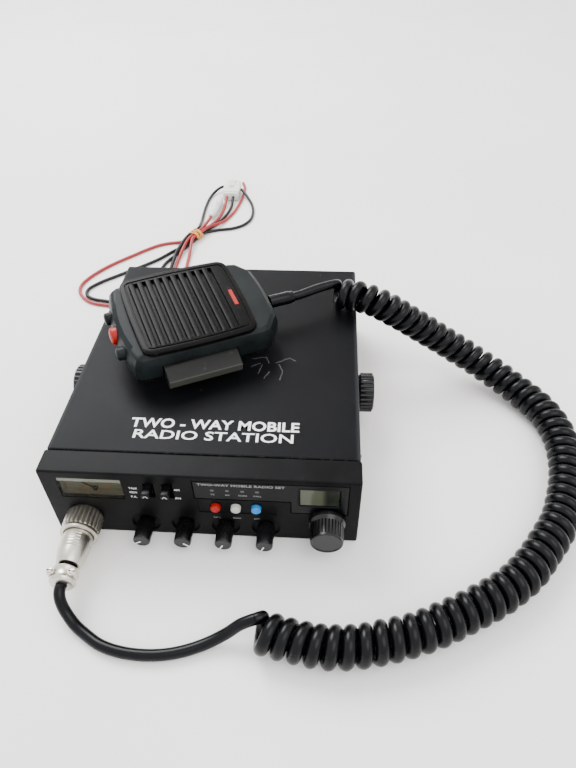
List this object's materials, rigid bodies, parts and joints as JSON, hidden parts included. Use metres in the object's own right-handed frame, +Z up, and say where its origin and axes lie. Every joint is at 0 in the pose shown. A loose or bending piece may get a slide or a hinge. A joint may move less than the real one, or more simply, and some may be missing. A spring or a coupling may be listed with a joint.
{
  "type": "mobile transceiver",
  "caption": "Two-way mobile radio set with a front panel of knobs, levers and push buttons, a ribbed hand microphone on a curly cord, bracket thumbscrews and a bundled power lead.",
  "frame": {"origin": "middle of the set's underside, on the surface that it stands on", "axes": "+Z up, -Y out of the front panel, +X to the right as the front panel is faced"},
  "size_m": [0.3273, 0.4566, 0.08],
  "materials": {
    "cover_paint": "satin black enamel",
    "panel_plastic": "fine moulded grain",
    "knob_plastic": "satin moulded",
    "zinc_steel": "zinc plated",
    "nickel": "satin nickel plate",
    "meter_glass": "clear moulded window",
    "dial_card": "printed card",
    "display_glass": "unlit display window",
    "button_red": "satin",
    "button_white": "satin",
    "button_blue": "satin",
    "mic_plastic": "fine moulded grain",
    "grille_plastic": "satin moulded",
    "lever_plastic": "satin moulded",
    "cable_rubber": "smooth",
    "wire_red": "smooth",
    "wire_black": "smooth",
    "nylon_white": "moulded",
    "band_rubber": "matt",
    "board_green": "solder resist",
    "cone_paper": "pressed paper"
  },
  "bodies": {
    "set": {"chassis": "zinc_steel", "top_cover": "cover_paint", "bottom_cover": "cover_paint", "front_bezel": "panel_plastic", "indicator_plate": "panel_plastic", "lcd_window": "display_glass", "lcd_module": "panel_plastic", "meter_window": "meter_glass", "meter_movement": "dial_card", "volume_control": "zinc_steel", "squelch_control": "zinc_steel", "tone_control": "zinc_steel", "microphone_gain_control": "zinc_steel", "channel_switch": "zinc_steel", "slide_switches": "zinc_steel", "button_switches": "panel_plastic", "mic_socket": "nickel", "plug_shell": "nickel", "plug_clamp": "nickel", "main_board": "board_green", "speaker": "cone_paper", "antenna_socket": "nickel", "speaker_jack": "nickel", "power_gland": "cable_rubber", "mic_cord_straight": "cable_rubber", "mic_cord_coil": "cable_rubber", "set_wire_red": "wire_red", "set_wire_black": "wire_black", "lead_wire_red": "wire_red", "lead_wire_black": "wire_black", "fuse_holder": "nylon_white", "lead_connector": "nylon_white", "wire_band": "band_rubber"},
    "ptt_bar": {"ptt_bar": "lever_plastic"},
    "mic_up_button": {"mic_up_button": "mic_plastic"},
    "mic_red_button": {"mic_red_button": "button_red"},
    "mic_down_button": {"mic_down_button": "mic_plastic"},
    "volume_knob": {"volume_knob": "knob_plastic"},
    "squelch_knob": {"squelch_knob": "knob_plastic"},
    "tone_knob": {"tone_knob": "knob_plastic"},
    "microphone_gain_knob": {"microphone_gain_knob": "knob_plastic"},
    "channel_knob": {"channel_knob": "knob_plastic"},
    "mode_lever": {"mode_lever": "knob_plastic"},
    "band_lever": {"band_lever": "knob_plastic"},
    "red_button": {"red_button": "button_red"},
    "white_button": {"white_button": "button_white"},
    "blue_button": {"blue_button": "button_blue"},
    "meter_needle": {"meter_needle": "knob_plastic"},
    "plug_coupling_nut": {"plug_coupling_nut": "nickel"},
    "thumbscrew_left": {"thumbscrew_left": "knob_plastic"},
    "thumbscrew_right": {"thumbscrew_right": "knob_plastic"},
    "microphone": {"mic_front_shell": "mic_plastic", "mic_back_shell": "mic_plastic", "mic_grille": "grille_plastic", "mic_capsule": "zinc_steel", "mic_board": "board_green", "hang_up_stud": "nickel", "mic_strain_relief": "cable_rubber", "mic_cord_tail": "cable_rubber"}
  },
  "joints": [
    {"name": "microphone_lift", "type": "slide", "parent": "set", "child": "microphone", "axis": [0, 0, 1], "range_m": [0, 0.08]},
    {"name": "push_to_talk", "type": "hinge", "parent": "microphone", "child": "ptt_bar", "pos_m": [0.0079, -0.0091, 0.0699], "axis": [-0.1023, 0.1233, -0.9871], "range_deg": [0, 5], "stiffness_Nm_per_rad": 0.08, "springref_deg": -8.59},
    {"name": "mic_up_press", "type": "slide", "parent": "microphone", "child": "mic_up_button", "axis": [0.8884, 0.4577, -0.0349], "range_m": [0, 0.0015], "stiffness_N_per_m": 400, "springref_m": -0.001},
    {"name": "mic_red_press", "type": "slide", "parent": "microphone", "child": "mic_red_button", "axis": [0.8884, 0.4577, -0.0349], "range_m": [0, 0.0015], "stiffness_N_per_m": 400, "springref_m": -0.001},
    {"name": "mic_down_press", "type": "slide", "parent": "microphone", "child": "mic_down_button", "axis": [0.8884, 0.4577, -0.0349], "range_m": [0, 0.0015], "stiffness_N_per_m": 400, "springref_m": -0.001},
    {"name": "volume_turn", "type": "hinge", "parent": "set", "child": "volume_knob", "pos_m": [-0.0292, -0.086, 0.009], "axis": [0, 1, 0], "range_deg": [0, 300]},
    {"name": "squelch_turn", "type": "hinge", "parent": "set", "child": "squelch_knob", "pos_m": [-0.0094, -0.086, 0.009], "axis": [0, 1, 0], "range_deg": [-300, 0]},
    {"name": "tone_turn", "type": "hinge", "parent": "set", "child": "tone_knob", "pos_m": [0.0104, -0.086, 0.009], "axis": [0, 1, 0], "range_deg": [0, 300]},
    {"name": "microphone_gain_turn", "type": "hinge", "parent": "set", "child": "microphone_gain_knob", "pos_m": [0.0302, -0.086, 0.009], "axis": [0, 1, 0], "range_deg": [0, 300]},
    {"name": "channel_turn", "type": "hinge", "parent": "set", "child": "channel_knob", "pos_m": [0.0598, -0.086, 0.0177], "axis": [0, 1, 0], "continuous": true},
    {"name": "mode_slide", "type": "slide", "parent": "set", "child": "mode_lever", "axis": [0, 0, 1], "range_m": [-0.0066, 0]},
    {"name": "band_slide", "type": "slide", "parent": "set", "child": "band_lever", "axis": [0, 0, 1], "range_m": [-0.0066, 0]},
    {"name": "red_press", "type": "slide", "parent": "set", "child": "red_button", "axis": [0, 1, 0], "range_m": [0, 0.0015], "stiffness_N_per_m": 400, "springref_m": -0.001},
    {"name": "white_press", "type": "slide", "parent": "set", "child": "white_button", "axis": [0, 1, 0], "range_m": [0, 0.0015], "stiffness_N_per_m": 400, "springref_m": -0.001},
    {"name": "blue_press", "type": "slide", "parent": "set", "child": "blue_button", "axis": [0, 1, 0], "range_m": [0, 0.0015], "stiffness_N_per_m": 400, "springref_m": -0.001},
    {"name": "needle_swing", "type": "hinge", "parent": "set", "child": "meter_needle", "pos_m": [-0.0514, -0.0818, 0.0296], "axis": [0, 1, 0], "range_deg": [0, 104], "stiffness_Nm_per_rad": 0.00002, "springref_deg": -11.46},
    {"name": "coupling_nut_turn", "type": "hinge", "parent": "set", "child": "plug_coupling_nut", "pos_m": [-0.0585, -0.086, 0.0135], "axis": [0, 1, 0], "continuous": true},
    {"name": "thumbscrew_left_turn", "type": "hinge", "parent": "set", "child": "thumbscrew_left", "pos_m": [-0.0756, -0.005, 0.025], "axis": [-1, 0, 0], "continuous": true},
    {"name": "thumbscrew_right_turn", "type": "hinge", "parent": "set", "child": "thumbscrew_right", "pos_m": [0.0756, -0.005, 0.025], "axis": [1, 0, 0], "continuous": true}
  ]
}
